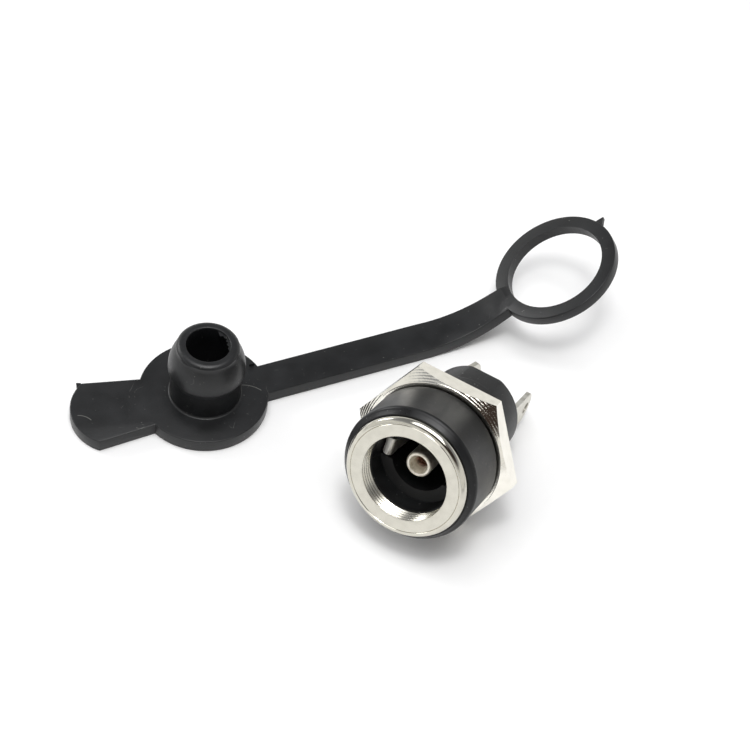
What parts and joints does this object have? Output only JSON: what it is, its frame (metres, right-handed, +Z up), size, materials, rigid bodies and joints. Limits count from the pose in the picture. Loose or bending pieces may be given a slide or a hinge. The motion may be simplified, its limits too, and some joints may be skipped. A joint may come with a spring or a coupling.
{
  "type": "panel-mount dc barrel jack",
  "caption": "Panel-mount dc barrel jack with hex nut and three solder lugs, lying on its side beside its rubber dust cap on a strap.",
  "frame": {"origin": "middle of the footprint of the jack and its cap, on the table", "axes": "+Z up from the table; +Y along the longest side of the layout, away from the jack's mouth; the jack's axis lies in a plane of constant X and rises 19.4 degrees towards -Y"},
  "size_m": [0.0416, 0.047, 0.015],
  "materials": {
    "black_moulding": "satin",
    "plated_metal": "polished",
    "plated_brass": "polished",
    "black_rubber": "matte"
  },
  "bodies": {
    "root": {"face_ring": "plated_metal", "housing": "black_moulding", "hex_nut": "plated_metal", "centre_pin": "plated_brass", "pin_lug": "plated_brass", "sleeve_contact": "plated_metal", "switch_contact": "plated_metal", "dust_cap": "black_rubber"}
  },
  "joints": []
}
